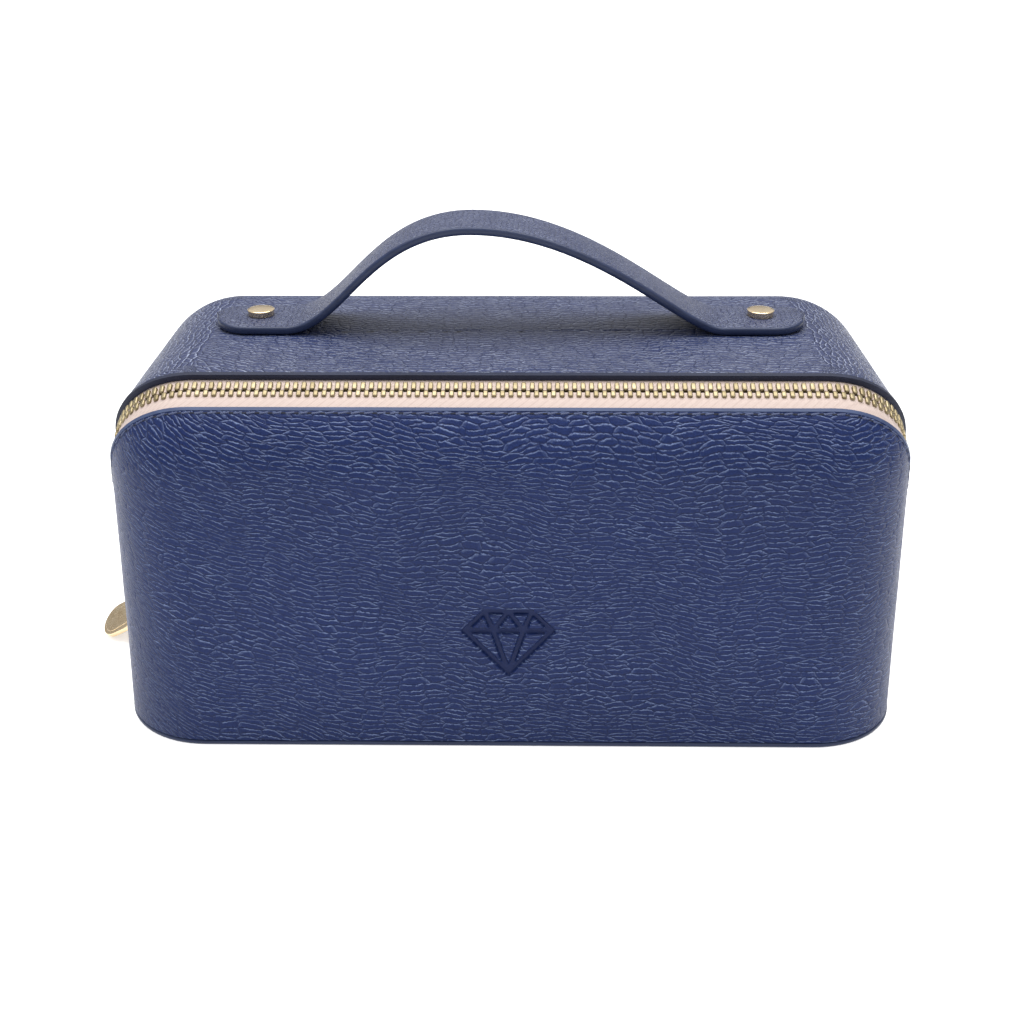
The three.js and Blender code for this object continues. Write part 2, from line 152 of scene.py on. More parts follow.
def rounded(obj, width, segments=3):
    """Round every edge sharper than 40 degrees; width is in millimetres."""
    bevel = obj.modifiers.new("edge", "BEVEL")
    bevel.width = width * MM
    bevel.segments = segments
    bevel.limit_method = "ANGLE"
    bevel.angle_limit = math.radians(40)
    bevel.harden_normals = False
    weighted = obj.modifiers.new("normals", "WEIGHTED_NORMAL")
    weighted.keep_sharp = True
    return obj


def dress(obj, *materials):
    obj.data.materials.clear()
    for m in materials:
        obj.data.materials.append(m)
    return obj


def place(obj, body, slot, nodes=()):
    """Fix a piece to a body, and hide the CAD nodes that it stands for."""
    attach(obj, body)
    if nodes:
        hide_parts(*nodes)
    return obj


# ---- Materials -----------------------------------------------------------------------------


class Shader:
    """A material's node tree, with short calls for the nodes used here."""

    def __init__(self, name, roughness, metallic=0.0, **fixed):
        self.material = bpy.data.materials.new(name)
        self.material.use_nodes = True
        self.tree = self.material.node_tree
        self.bsdf = self.tree.nodes["Principled BSDF"]
        self.bsdf.inputs["Roughness"].default_value = roughness
        self.bsdf.inputs["Metallic"].default_value = metallic
        for key, value in fixed.items():
            self.bsdf.inputs[key.replace("_", " ")].default_value = value
        self.coords = self.node("ShaderNodeTexCoord").outputs["Object"]

    def node(self, kind, links=None, **settings):
        n = self.tree.nodes.new(kind)
        for key, value in settings.items():
            setattr(n, key, value)
        for key, value in (links or {}).items():
            socket = n.inputs[key]
            if isinstance(value, bpy.types.NodeSocket):
                self.tree.links.new(value, socket)
            else:
                socket.default_value = value
        return n

    def scaled(self, scale, rotation=(0, 0, 0), source=None):
        n = self.node("ShaderNodeMapping", {"Vector": source or self.coords})
        n.inputs["Scale"].default_value = scale
        n.inputs["Rotation"].default_value = rotation
        return n.outputs[0]

    def noise(self, vector, scale, detail=2.0, rough=0.5):
        return self.node(
            "ShaderNodeTexNoise",
            {"Vector": vector, "Scale": scale, "Detail": detail, "Roughness": rough},
        )

    def math(self, operation, a, b=0.0, clamp=False):
        n = self.node("ShaderNodeMath", {0: a, 1: b}, operation=operation, use_clamp=clamp)
        return n.outputs[0]

    def ramp(self, value, stops):
        n = self.node("ShaderNodeValToRGB", {"Fac": value})
        elements = n.color_ramp.elements
        while len(elements) < len(stops):
            elements.new(0.5)
        for element, (position, color) in zip(elements, stops):
            element.position = position
            element.color = (*color, 1)
        return n.outputs["Color"]

    def grey(self, value, *stops):
        return self.ramp(value, [(at, (level, level, level)) for at, level in stops])

    def bumps(self, *layers):
        """Each layer is (height, strength, distance in mm); they are laid on each other."""
        normal = None
        for height, strength, distance in layers:
            links = {"Height": height, "Strength": strength, "Distance": distance * MM}
            if normal is not None:
                links["Normal"] = normal
            normal = self.node("ShaderNodeBump", links).outputs[0]
        self.tree.links.new(normal, self.bsdf.inputs["Normal"])

    def color(self, socket):
        self.tree.links.new(socket, self.bsdf.inputs["Base Color"])

    def roughness(self, socket):
        self.tree.links.new(socket, self.bsdf.inputs["Roughness"])

    def mix(self, factor, a, b):
        n = self.node("ShaderNodeMix", data_type="RGBA")
        for index, value in ((0, factor), (6, a), (7, b)):
            if isinstance(value, bpy.types.NodeSocket):
                self.tree.links.new(value, n.inputs[index])
            else:
                n.inputs[index].default_value = (*value, 1)
        return n.outputs[2]


NAVY = (0.0080, 0.0172, 0.074)
NAVY_PAINTED_SHADE = (0.004, 0.006, 0.022)  # painted shade, in the furrows and on the pebbles' lower sides
NAVY_LIGHT = (0.20, 0.26, 0.43)  # painted highlight, where the front's grain would catch the light from above
# Paler painted highlight, for the top and the strap
NAVY_PALE_HIGHLIGHT = (0.42, 0.47, 0.62)


def leather_material(name, cell, light, bump, sheen):
    """Pebbled leather with painted light in its colour. cell is the grain's size along and up the hide, in
    millimetres; light is the colour of the painted highlights on the pebbles' upper edges, and the furrows
    and the pebbles' lower sides get painted shade.
    """
    s = Shader(name, 0.36, Specular_IOR_Level=sheen)
    hide = s.node("ShaderNodeTexCoord").outputs["UV"]  # millimetres

    def pushed(place, size, reach):
        """Shift `place` along the hide by reach[0] and up it by reach[1], in waves about 1/size long."""
        wander = s.noise(hide, size, 1).outputs["Color"]
        middle = s.node("ShaderNodeVectorMath", {0: wander, 1: (0.5, 0.5, 0.5)}, operation="SUBTRACT")
        push = s.node("ShaderNodeVectorMath", {0: middle.outputs[0], 1: (*reach, 0)}, operation="MULTIPLY")
        return s.node("ShaderNodeVectorMath", {0: place, 1: push.outputs[0]}, operation="ADD").outputs[0]

    bent = pushed(pushed(pushed(hide, 0.03, (3, 11)), 0.2, (1.0, 1.5)), 1.1, (0.55, 0.6))

    def pebbles(shift, finer, ramp):
        grain = s.scaled([finer / cell[0], finer / cell[1], 1], source=bent)
        moved = s.node("ShaderNodeVectorMath", {0: grain, 1: (0, shift, 0)}, operation="ADD").outputs[0]
        edge = s.node(
            "ShaderNodeTexVoronoi", {"Vector": moved, "Scale": 1.0, "Randomness": 0.75},
            feature="DISTANCE_TO_EDGE", voronoi_dimensions="2D",
        ).outputs["Distance"]
        return edge, s.grey(edge, *ramp)

    coarse = ((0.0, 0.0), (0.07, 0.65), (0.19, 1.0))
    edge, height = pebbles(0.0, 1.0, coarse)
    _, above = pebbles(0.17, 1.0, coarse)
    _, small = pebbles(0.4, 2.2, ((0.0, 0.0), (0.12, 0.7), (0.3, 1.0)))
    patchy = s.noise(hide, 0.16, 3).outputs["Fac"]
    broken = s.noise(hide, 0.9, 1).outputs["Fac"]
    # Painted highlight: lighter colour on the pebbles' upper edges, where the grain would catch light from
    # above.
    upper_edge = s.math("SUBTRACT", height, above, clamp=True)
    lit = s.math("MULTIPLY", upper_edge, s.grey(broken, (0.33, 0.1), (0.5, 1.0)))
    glint = s.math("MULTIPLY", lit, s.grey(patchy, (0.35, 0.5), (0.6, 1.0)))
    cloud = s.noise(hide, 0.015, 4).outputs["Fac"]
    speckle = s.noise(hide, 1.9, 1).outputs["Fac"]
    tone = s.math("ADD", s.grey(cloud, (0.3, 0.0), (0.7, 0.35)), s.grey(speckle, (0.35, 0.0), (0.65, 0.65)))
    body = s.mix(tone, [c * 0.78 for c in NAVY], [c * 1.3 for c in NAVY])
    # Painted shade: darker colour on the pebbles' lower sides and at the bottoms of the furrows.
    shade = s.math("SUBTRACT", above, height, clamp=True)
    furrow_shade = s.math("MAXIMUM", s.math("MULTIPLY", shade, 0.6), s.grey(edge, (0.0, 0.3), (0.05, 0.0)))
    shaded = s.mix(furrow_shade, body, NAVY_PAINTED_SHADE)
    pressed = s.node("ShaderNodeAttribute", attribute_name="pressed").outputs["Fac"]
    calm = s.math("SUBTRACT", 1.0, pressed, clamp=True)
    lit_and_shaded_grain = s.mix(s.math("MULTIPLY", glint, 0.9), shaded, light)
    s.color(s.mix(pressed, lit_and_shaded_grain, [c * 0.8 for c in NAVY]))
    s.roughness(s.grey(patchy, (0.3, 0.34), (0.7, 0.44)))
    pores = s.noise(hide, 2.6, 1).outputs["Fac"]
    quiet = s.math("MULTIPLY", height, calm)
    s.bumps((quiet, bump, 0.3), (small, bump * 0.4, 0.12), (pores, 0.12, 0.05))
    return s.material


# The top and the strap get a paler painted highlight than the front, as they face the overhead light.
leather_front = leather_material("leather_front", (6.2, 1.5), NAVY_LIGHT, 0.7, 0.14)
leather_top = leather_material("leather_top", (4.2, 1.9), NAVY_PALE_HIGHLIGHT, 1.0, 0.6)
leather_strap = leather_material("leather_strap", (1.7, 1.3), NAVY_PALE_HIGHLIGHT, 1.0, 0.75)


def painted_edge_material(name, dark, bright, roughness):
    """Edge paint, or a painted highlight along the front panel's turned edge, with faint streaks along it.
    """
    s = Shader(name, roughness, Specular_IOR_Level=0.3)
    streaks = s.noise(s.scaled((60, 60, 900)), 1, 3).outputs["Fac"]
    s.color(s.ramp(streaks, [(0.3, dark), (0.7, bright)]))
    s.bumps((s.noise(s.coords, 500, 3).outputs["Fac"], 0.25, 0.12))
    return s.material


painted_edge = painted_edge_material("painted_edge", (0.014, 0.022, 0.058), (0.020, 0.031, 0.078), 0.36)
rim_paint = painted_edge_material("rim_paint", (0.006, 0.009, 0.026), (0.011, 0.016, 0.042), 0.5)
# A painted highlight for the front panel's top edge.
lip_painted_highlight = painted_edge_material("lip_painted_highlight", (0.030, 0.047, 0.110), (0.052, 0.075, 0.155), 0.4)


def woven_material(name, dark, bright, size):
    """Twill cloth whose yarns are `size` millimetres apart."""
    s = Shader(name, 0.75, Sheen_Weight=0.25, Sheen_Roughness=0.4)
    heights = []
    for turn in (math.radians(38), math.radians(-38)):
        wave = s.node(
            "ShaderNodeTexWave",
            {"Vector": s.scaled([1 / (size * MM)] * 3, (turn, turn, turn)), "Scale": 0.16,
             "Distortion": 0.6, "Detail": 1.0},
            wave_type="BANDS", bands_direction="DIAGONAL",
        )
        heights.append(wave.outputs["Fac"])
    weave = s.math("MAXIMUM", heights[0], heights[1])
    fuzz = s.noise(s.coords, 1500, 3).outputs["Fac"]
    s.color(s.mix(s.math("MULTIPLY", weave, 0.9), dark, bright))
    s.bumps((weave, 0.5, 0.12), (fuzz, 0.25, 0.06))
    return s.material


tape_cloth = woven_material("zip_tape_cloth", (0.43, 0.33, 0.29), (0.58, 0.475, 0.43), 0.19)


def suede_material(name, shade):
    s = Shader(name, 0.9, Sheen_Weight=0.5, Sheen_Roughness=0.5)
    nap = s.noise(s.coords, 60, 5, 0.6).outputs["Fac"]
    fibre = s.noise(s.coords, 2400, 2).outputs["Fac"]
    s.color(s.ramp(nap, [(0.3, [c * 0.82 for c in shade]), (0.7, shade)]))
    s.bumps((fibre, 0.5, 0.08), (nap, 0.2, 0.3))
    return s.material


lining_suede = suede_material("lining_suede", (0.66, 0.52, 0.45))
roll_velvet = suede_material("roll_velvet", (0.72, 0.59, 0.52))


def metal_material(name, dull, bright, smooth, rough):
    s = Shader(name, smooth, 1.0)
    wear = s.noise(s.coords, 240, 4).outputs["Fac"]
    s.color(s.ramp(wear, [(0.3, dull), (0.7, bright)]))
    s.roughness(s.grey(s.noise(s.coords, 900, 3).outputs["Fac"], (0.3, smooth), (0.7, rough)))
    s.bumps((wear, 0.08, 0.1))
    return s.material


gold = metal_material("pale_gold", (0.74, 0.57, 0.35), (0.88, 0.72, 0.49), 0.13, 0.28)
tooth_gold = metal_material("tooth_gold", (0.23, 0.185, 0.105), (0.37, 0.31, 0.195), 0.42, 0.54)


def thread_material():
    s = Shader("navy_thread", 0.55)
    twist = s.node(
        "ShaderNodeTexWave", {"Vector": s.scaled((1, 1, 1)), "Scale": 900.0}, bands_direction="DIAGONAL"
    ).outputs["Fac"]
    s.color(s.mix(twist, (0.02, 0.03, 0.075), (0.05, 0.07, 0.16)))
    s.bumps((twist, 0.6, 0.08))
    return s.material


thread = thread_material()


def hole_shade_material():
    s = Shader("hole_painted_shade", 0.9)
    grain = s.noise(s.coords, 900, 2).outputs["Fac"]
    # Near-black: painted shade, standing for the inside of a stitch hole.
    s.color(s.ramp(grain, [(0.3, (0.004, 0.005, 0.012)), (0.7, (0.009, 0.012, 0.03))]))
    return s.material


hole_painted_shade = hole_shade_material()


def board_material():
    s = Shader("grey_board", 0.95)
    fibre = s.noise(s.coords, 400, 6, 0.7).outputs["Fac"]
    s.color(s.ramp(fibre, [(0.3, (0.27, 0.24, 0.21)), (0.7, (0.38, 0.35, 0.31))]))
    s.bumps((fibre, 0.3, 0.1))
    return s.material


greyboard = board_material()

# ---- The case's rounded block, as columns of points ------------------------------------------


def spread(low, high, step):
    count = max(1, round((high - low) / step))
    return list(np.linspace(low, high, count + 1))


def mark_rows(low, high, step, fine_low, fine_high, fine_step):
    """Values from low to high, closer together between fine_low and fine_high."""
    return (
        spread(low, fine_low, step) + spread(fine_low, fine_high, fine_step)[1:]
        + spread(fine_high, high, step)[1:]
    )


MARK_HALF = 17.0  # of the finely meshed area round the mark, sideways
MARK_TALL = 14.0  # the same, upwards
MARK_Z = 38.0
MARK_DEPTH = 0.85
WALL_STEP = 2.2  # between rows of points, and FINE_STEP round the mark
FINE_STEP = 0.32


def plan_columns(fine):
    """(anchor x, anchor y, outward x, outward y) all round, starting behind the left zip end."""
    ax, ay = HALF_W - CORNER_RADIUS, HALF_D - CORNER_RADIUS
    turns = 18
    front = mark_rows(-ax, ax, 1.7, -MARK_HALF, MARK_HALF, FINE_STEP) if fine else spread(-ax, ax, 2)
    columns = [(-ax, y, -1, 0) for y in reversed(spread(-ay, ay, 2))]

    def corner(cx, cy, start):
        for i in range(1, turns):
            t = math.radians(start + 90 * i / turns)
            columns.append((cx, cy, math.cos(t), math.sin(t)))

    corner(-ax, -ay, 180)
    columns.extend((x, -ay, 0, -1) for x in front)
    corner(ax, -ay, 270)
    columns.extend((ax, y, 1, 0) for y in spread(-ay, ay, 2))
    corner(ax, ay, 0)
    columns.extend((x, ay, 0, 1) for x in reversed(spread(-ax, ax, 4)))
    corner(-ax, ay, 90)
    return np.array(columns)


def puff(x, y, z):
    """Slight unevenness of leather over board, in millimetres along the outward direction."""
    value = noise.noise((x * 0.021, y * 0.021, z * 0.024)) * 0.22
    return value + noise.noise((x * 0.06 + 5, y * 0.06, z * 0.06)) * 0.06


def block_rows(offset, fine):
    """(inset of the outline, height, share of the way to the middle of the top) up the wall."""
    radius = TOP_RADIUS - offset
    if fine:
        rise = mark_rows(FOOT, EDGE_Z, WALL_STEP, MARK_Z - MARK_TALL, MARK_Z + MARK_TALL, FINE_STEP)
    else:
        rise = spread(FOOT, EDGE_Z, 2.6)
    rows = [(0, z, 0) for z in rise]
    for i in range(1, 25):
        t = math.radians(90 * i / 24)
        rows.append((radius * (1 - math.cos(t)), EDGE_Z + radius * math.sin(t), 0))
    rows.extend((radius, HEIGHT - offset, s) for s in np.linspace(0, 1, 15)[1:])
    return rows


def along_hide(u, v):
    """Turn the grain: nearly level on the right, sloping down to the right towards the left end."""
    turn = min(1.0, max(0.0, (-15 - u) / 105))
    slope = 0.04 * u + 105 * 0.42 * (-(turn**3) + turn**4 / 2)
    drift = noise.noise((u * 0.03, v * 0.03, 2.5)) * 2.6
    return u, v + slope + drift


def hide_places(fine):
    """Distance round the case for each column, closed, and up the wall for each row."""
    columns = plan_columns(fine)
    xy = columns[:, :2] + CORNER_RADIUS * columns[:, 2:]
    steps = np.linalg.norm(np.diff(np.vstack([xy, xy[:1]]), axis=0), axis=1)
    around = np.concatenate([[0], np.cumsum(steps)])
    front = np.argmin(np.abs(xy[:, 0]) + (xy[:, 1] > 0) * 1000)
    rows = block_rows(0, fine)
    up = [EDGE_Z + TOP_RADIUS * math.asin(min(1, (z - EDGE_Z) / TOP_RADIUS)) if z > EDGE_Z else z
          for _, z, _ in rows]
    return around - around[front], up, [inward for _, _, inward in rows]


def lay_hide(obj, points, fine):
    """Give the block's grid its hide coordinates: round and up the walls, flat across the top."""
    around, up, inward = hide_places(fine)
    rows, columns, _ = points.shape
    top_start = EDGE_Z + TOP_RADIUS * math.pi / 2 - EDGE_Y
    layer = obj.data.uv_layers.new(name="hide")
    flat = []
    for r in range(rows - 1):
        for c in range(columns):
            d = (c + 1) % columns
            for rr, cc, column in ((r, c, c), (r, d, c + 1), (r + 1, d, c + 1), (r + 1, c, c)):
                if inward[r + 1]:
                    x, y, _ = points[rr, cc]
                    flat.extend(along_hide(x, y + top_start))
                else:
                    flat.extend(along_hide(around[column], up[rr]))
    layer.data.foreach_set("uv", flat)


def lean_x(x, z):
    """Where the side walls' lean takes an x at that height."""
    return x * (1 + LEAN / HALF_W * (1 - 2 * z / HEIGHT))


def block_points(offset, fine):
    """The rounded block's surface, `offset` inside the leather: rows by columns by 3, in millimetres."""
    columns = plan_columns(fine)
    rows = block_rows(offset, fine)
    spine = HALF_W - CORNER_RADIUS - (HALF_D - CORNER_RADIUS)
    points = np.zeros((len(rows), len(columns), 3))
    for r, (inset, z, inward) in enumerate(rows):
        reach = CORNER_RADIUS - offset - inset
        for c, (ax, ay, nx, ny) in enumerate(columns):
            x, y = ax + reach * nx, ay + reach * ny
            if inward:
                sx = max(-spine, min(spine, ax))
                x, y = x + (sx - x) * inward, y * (1 - inward)
            out = puff(ax, ay, z) * (1 - inward)
            points[r, c] = (lean_x(x + out * nx, z), y + out * ny, z)
    return points


blocks = {}


def block(offset, fine=False):
    key = (offset, fine)
    if key not in blocks:
        blocks[key] = block_points(offset, fine)
    return blocks[key]


def across_of(points):
    """Distance from the zip's plane, towards the lid, in millimetres."""
    return (points - np.array(zip_point)) @ np.array(zip_across)


def cut(bm, distance, keep_lid):
    """Cut the mesh parallel to the zip's plane, and keep the lid's side or the front's."""
    point = zip_point * MM + zip_across * distance * MM
    geometry = bm.verts[:] + bm.edges[:] + bm.faces[:]
    bmesh.ops.bisect_plane(
        bm, geom=geometry, dist=1e-7, plane_co=point, plane_no=zip_across,
        clear_inner=keep_lid, clear_outer=not keep_lid,
    )


def wall_sheet(name, offset, low=None, high=None, fine=False, shape=None, hide=False):
    """The block's surface between two distances from the zip's plane, in millimetres."""
    points = block(offset, fine)
    if shape is not None:
        points = shape(points.copy())
    rows, columns, _ = points.shape
    obj = new_object(name, points.reshape(-1, 3) * MM, tube_faces(rows, columns))
    if hide:
        lay_hide(obj, points, fine)
    if shape is not None:
        sunk = np.linalg.norm(points - block(offset, fine), axis=2).reshape(-1)
        pressed = obj.data.attributes.new("pressed", "FLOAT", "POINT")
        pressed.data.foreach_set("value", np.clip(sunk / MARK_DEPTH, 0, 1))

    def work(bm):
        bmesh.ops.remove_doubles(bm, verts=bm.verts, dist=1e-6)
        if low is not None:
            cut(bm, low, True)
        if high is not None:
            cut(bm, high, False)
        bmesh.ops.recalc_face_normals(bm, faces=bm.faces)
        middle = Vector((0, 0, 0.05))
        if sum(f.normal.dot(f.calc_center_median() - middle) for f in bm.faces) < 0:
            bmesh.ops.reverse_faces(bm, faces=bm.faces)

    return edit(obj, work)


def wall(name, offset, thickness, low=None, high=None, fine=False, shape=None, hide=False, edge=0.3):
    """The same surface, thickened inwards and with rounded edges."""
    obj = wall_sheet(name, offset, low, high, fine, shape, hide)
    solid = obj.modifiers.new("thickness", "SOLIDIFY")
    solid.thickness = thickness * MM
    solid.offset = -1
    solid.use_even_offset = True
    return rounded(obj, edge)


# ---- Debossed mark: a cut gem in outline, a plain generic ornament ---------------------------


def gem_lines():
    """Line ends (x, z) about the mark's middle, in millimetres."""
    girdle, table, facet, top, mid, foot = 13.0, 7.0, 4.5, 9.5, 3.0, -11.5
    outline = [(-girdle, mid), (-table, top), (table, top), (girdle, mid), (0, foot), (-girdle, mid)]
    lines = list(zip(outline, outline[1:]))
    lines.append(((-girdle, mid), (girdle, mid)))
    for side in (-1, 1):
        lines.extend(((side * facet, mid), end) for end in ((0, foot), (side * table, top), (0, top)))
    return lines


def deboss(points):
    """Press the gem's lines into the front face, with a slight swell beside them."""
    half, soft = 0.6, 0.5  # of a line's floor and of its sloping sides
    near = (
        (points[..., 1] < -HALF_D + 2) & (np.abs(points[..., 0]) < MARK_HALF)
        & (np.abs(points[..., 2] - MARK_Z) < MARK_TALL)
    )
    p = points[near][:, [0, 2]] - np.array([0, MARK_Z])
    distance = np.full(len(p), 99.0)
    for a, b in gem_lines():
        a, b = np.array(a), np.array(b)
        t = np.clip(((p - a) @ (b - a)) / ((b - a) @ (b - a)), 0, 1)
        distance = np.minimum(distance, np.linalg.norm(p - a - t[:, None] * (b - a), axis=1))
    sink = 1 - np.clip((distance - half) / soft, 0, 1)
    swell = np.exp(-(((distance - half - soft - 0.3) / 0.5) ** 2)) * 0.05
    moved = points[near]
    moved[:, 1] += MARK_DEPTH * sink * sink * (3 - 2 * sink) - swell
    points[near] = moved
    return points


# ---- Shells: leather, rim and linings -------------------------------------------------------


def make_shells():
    front = wall("front_panel_leather", 0, SKIN, high=-FRONT_OPENING, fine=True, shape=deboss, hide=True,
                 edge=0.45)
    place(dress(front, leather_front), "base", "leather", ["front_leather"])
    lid = wall("lid_shell_leather", 0, SKIN, low=LID_OPENING + RIM + 0.05, hide=True)
    place(dress(lid, leather_top), "lid", "leather", ["lid_leather"])
    rim = wall("lid_rim_edge", -0.3, SKIN + 0.3, low=LID_OPENING, high=LID_OPENING + RIM, edge=0.5)
    place(dress(rim, rim_paint), "lid", "leather_edge", ["lid_rim_binding"])
    # A thin lighter band over the front panel's top edge: a painted highlight where its rounded edge would
    # catch the light.
    lip_low, lip_high = -FRONT_OPENING - 1.15, -FRONT_OPENING - 0.1
    lip = wall("front_lip_painted_highlight", -0.14, 0.3, low=lip_low, high=lip_high, edge=0.13)
    place(dress(lip, lip_painted_highlight), "base", "leather")
    inner_front = wall("front_wall_lining", LINING_IN, LINING, high=-FRONT_OPENING, edge=0.15)
    place(dress(inner_front, lining_suede), "base", "lining", ["front_lining"])
    inner_lid = wall("lid_wall_lining", LINING_IN, LINING, low=LID_OPENING, edge=0.15)
    place(dress(inner_lid, lining_suede), "lid", "lining", ["lid_lining"])


def zip_line(offset, across):
    """Points along the block's surface at one distance from the zip's plane, left foot to right foot."""
    points = block(offset)
    s = across_of(points.reshape(-1, 3)).reshape(points.shape[:2]) - across
    line = []
    for c in range(points.shape[1]):
        for r in range(points.shape[0] - 1):
            if s[r, c] < 0 <= s[r + 1, c]:
                t = s[r, c] / (s[r, c] - s[r + 1, c])
                line.append(points[r, c] * (1 - t) + points[r + 1, c] * t)
                break
    return np.array(line)


def stations(line, pitch, margin):
    """Evenly spaced (point, direction) along a line of points, but for a margin at each end."""
    steps = np.linalg.norm(np.diff(line, axis=0), axis=1)
    reach = np.concatenate([[0], np.cumsum(steps)])
    count = int((reach[-1] - 2 * margin) // pitch)
    out = []
    for i in range(count + 1):
        at = margin + i * pitch
        before, p, after = (
            np.array([np.interp(at + shift, reach, line[:, k]) for k in range(3)])
            for shift in (-0.4, 0, 0.4)
        )
        out.append((Vector(p), Vector(after - before).normalized()))
    return out


def block_mesh(half, corner):
    """Vertices and faces of a small rounded bar, half sizes (x, y, z) in millimetres."""
    bm = bmesh.new()
    bmesh.ops.create_cube(bm, size=1)
    for v in bm.verts:
        v.co = Vector((v.co.x * 2 * half[0], v.co.y * 2 * half[1], v.co.z * 2 * half[2]))
    bmesh.ops.bevel(bm, geom=bm.edges[:], offset=corner, segments=2, affect="EDGES", profile=0.6)
    verts = [v.co.copy() for v in bm.verts]
    faces = [[v.index for v in f.verts] for f in bm.faces]
    bm.free()
    return verts, faces


def repeat(name, pattern, frames):
    """One mesh with the pattern laid at each frame: (origin, x, y, z axes), in millimetres."""
    verts, faces = [], []
    pv, pf = pattern
    for origin, x, y, z in frames:
        first = len(verts)
        verts.extend((origin + x * v.x + y * v.y + z * v.z) * MM for v in pv)
        faces.extend([first + i for i in f] for f in pf)
    return recalc(new_object(name, verts, faces))


TOOTH_WIDE, TOOTH_DEEP = 0.7, 1.05  # halves, along the zip and through the wall
FRONT_TOOTH = (0.25, 2.45)  # across, from the zip's middle to the tooth's near and far end
LID_TOOTH = (0.2, 3.0)
LINE_START = 9.2  # from the foot to the first tooth
TAPE_NEAR, TAPE_FAR = 0.45, 9.7  # across, from the zip's middle to the tape's edges
STITCH_START = 6.0
STITCH_INSET = 1.75  # from the front panel's edge


def make_teeth():
    line = zip_line(2.0, 0.0)
    every = stations(line, TEETH_PITCH / 2, LINE_START)
    for side, sign, first, (near, far) in (("front", -1, 0, FRONT_TOOTH), ("lid", 1, 1, LID_TOOTH)):
        pattern = block_mesh((TOOTH_WIDE, (far - near) / 2, TOOTH_DEEP), 0.36)
        frames = []
        for p, t in every[first::2]:
            out = t.cross(zip_across).normalized()
            frames.append((p + zip_across * sign * (near + far) / 2, t, zip_across, out))
        teeth = repeat(f"zip_teeth_{side}_row", pattern, frames)
        place(dress(teeth, tooth_gold), SIDE_BODY[side], "gold_metal", [f"zip_teeth_{side}"])


def make_tapes():
    for side, low, high in (("front", -TAPE_FAR, -TAPE_NEAR), ("lid", TAPE_NEAR, TAPE_FAR)):
        cloth = wall(f"zip_tape_{side}_cloth", TAPE_IN, 0.5, low=low, high=high, edge=0.12)
        place(dress(cloth, tape_cloth), SIDE_BODY[side], "zip_tape", [f"zip_tape_{side}"])


def make_stitches():
    """Slanting threads along the front panel's edge, with a dark disc of painted shade between each two,
    standing for a pricked hole.
    """
    line = zip_line(0.0, -FRONT_OPENING - STITCH_INSET)
    every = stations(line, STITCH_PITCH / 2, STITCH_START)
    threads, holes = [], []
    for index, (p, t) in enumerate(every):
        out = t.cross(zip_across).normalized()
        if index % 2:
            holes.append((p, t, zip_across, out))
        else:
            tilt = (zip_across - t * 0.2).normalized()
            threads.append((p - out * 0.05, tilt.cross(out), tilt, out))
    seam = repeat("front_seam_stitches", block_mesh((1.3, 0.3, 0.24), 0.2), threads)
    place(dress(seam, thread), "base", "leather")
    shade_discs = repeat("front_seam_hole_shade_discs", block_mesh((0.75, 0.36, 0.06), 0.055), holes)
    place(dress(shade_discs, hole_painted_shade), "base", "leather")


# ---- Base ----------------------------------------------------------------------------------


def plate(name, profile):
    """A plate with the case's outline; profile is (inset, height) pairs, foot to top, in millimetres."""
    columns = plan_columns(False)
    verts = []
    for inset, z in profile:
        reach = CORNER_RADIUS - inset
        verts.extend(
            Vector((lean_x(ax + reach * nx, z), ay + reach * ny, z)) * MM for ax, ay, nx, ny in columns
        )
    rings = (len(profile), len(columns))
    return recalc(new_object(name, verts, tube_faces(*rings) + end_caps(*rings)))


def make_base():
    profile = [(0.6, 0.0), (0.1, 0.15), (-0.1, 0.45), (-0.1, 1.15), (0.1, 1.4), (0.5, BASE_TOP)]
    edge = plate("base_panel", profile)
    place(dress(edge, painted_edge), "base", "leather", ["base_leather"])
    floor_low, floor_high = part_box("floor_lining")
    low, high = floor_low.z / MM, floor_high.z / MM
    pad = plate("floor_pad", [(5.4, low), (5.2, low + 0.2), (5.3, high - 0.15), (5.8, high)])
    place(dress(pad, lining_suede), "base", "lining", ["floor_lining"])


# ---- Handle --------------------------------------------------------------------------------

left_low, left_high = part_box("handle_end_left")
right_low, right_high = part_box("handle_end_right")
bow_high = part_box("handle_bow")[1]
STRAP_HALF = (left_high.y - left_low.y) / MM / 2
STRAP_Y = (left_high.y + left_low.y) / MM / 2
STRAP_THICK = (left_high.z - left_low.z) / MM
STRAP_LOW = left_low.z / MM
PEAK_X = -12.0  # the bow's highest point is left of the middle
RISE = bow_high.z / MM - STRAP_LOW - STRAP_THICK
TIP_RADIUS = 11.5
TIP_LIFT = 0.9  # the strap's ends turn up by this much over their last TIP_RUN
TIP_RUN = 9.0
EDGE_CORNER = 0.75  # rounding of the strap's top corners
CROWN = 0.35  # the strap's top swells in the middle
TOP_POINTS = 15


def bezier(p, steps):
    out = []
    for i in range(steps + 1):
        t = i / steps
        w = ((1 - t) ** 3, 3 * t * (1 - t) ** 2, 3 * t * t * (1 - t), t**3)
        out.append(Vector((sum(a * q[0] for a, q in zip(w, p)), sum(a * q[1] for a, q in zip(w, p)))))
    return out


def strap_line():
    """(x, height) of the strap's middle line, from the left tip to the right one."""
    left_tip, left = left_low.x / MM, left_high.x / MM
    right, right_tip = right_low.x / MM, right_high.x / MM
    flat = [Vector((left_tip + (left - left_tip) * i / 16, 0)) for i in range(16)]
    rise = bezier([(left, 0), (left + 18, 0), (PEAK_X - 32, RISE), (PEAK_X, RISE)], 36)
    fall = bezier([(PEAK_X, RISE), (PEAK_X + 38, RISE), (right - 12, 0), (right, 0)], 40)
    end = [Vector((right + (right_tip - right) * i / 16, 0)) for i in range(1, 17)]
    return flat + rise + fall[1:] + end


